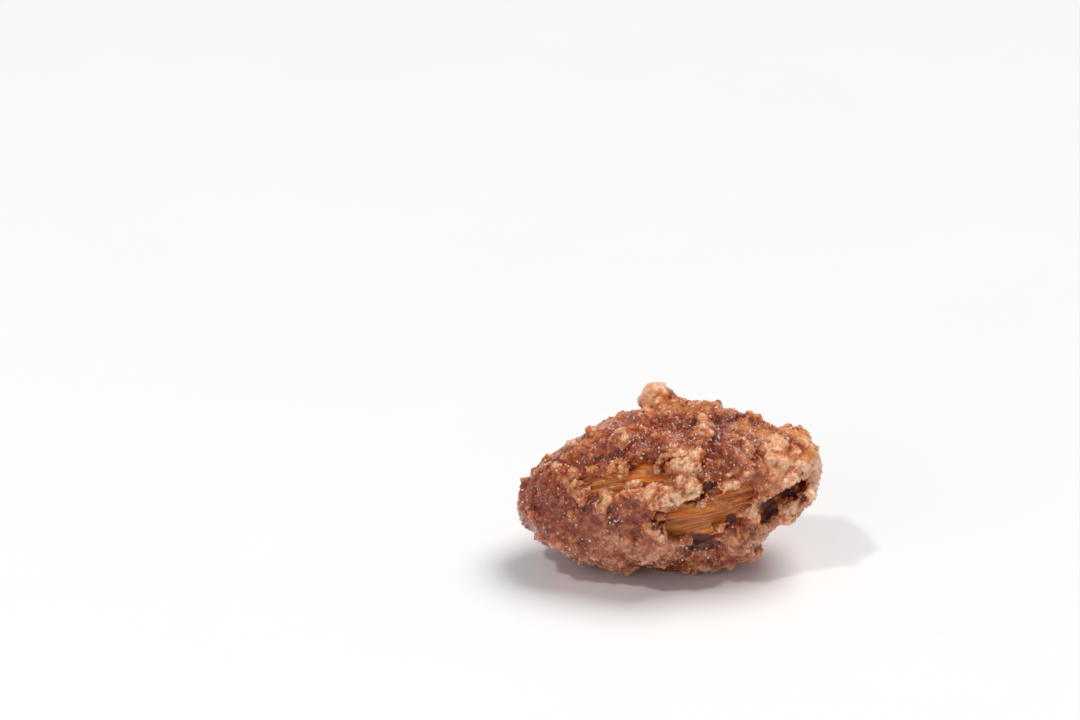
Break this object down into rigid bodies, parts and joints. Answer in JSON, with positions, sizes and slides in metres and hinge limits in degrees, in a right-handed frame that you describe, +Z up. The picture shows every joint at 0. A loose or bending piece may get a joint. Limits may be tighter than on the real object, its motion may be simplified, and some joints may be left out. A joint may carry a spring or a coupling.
{
  "type": "cinnamon almond",
  "caption": "Candied almond: an almond kernel in a thick, craggy coat of cinnamon sugar, with two bare windows onto its skin and a small flat spot to rest on.",
  "frame": {"origin": "centre of the almond's bounding box, at the flat spot it rests on", "axes": "+X along the almond towards its pointed end, +Z up, -Y towards the side with the bare windows"},
  "size_m": [0.0256, 0.0144, 0.0154],
  "materials": {
    "almond_skin": "almond skin glazed with syrup, finely furrowed lengthwise",
    "cinnamon_sugar": "craggy cinnamon sugar, cloudy and glistening"
  },
  "bodies": {
    "root": {"almond_kernel": "almond_skin", "sugar_crust": "cinnamon_sugar"}
  },
  "joints": []
}
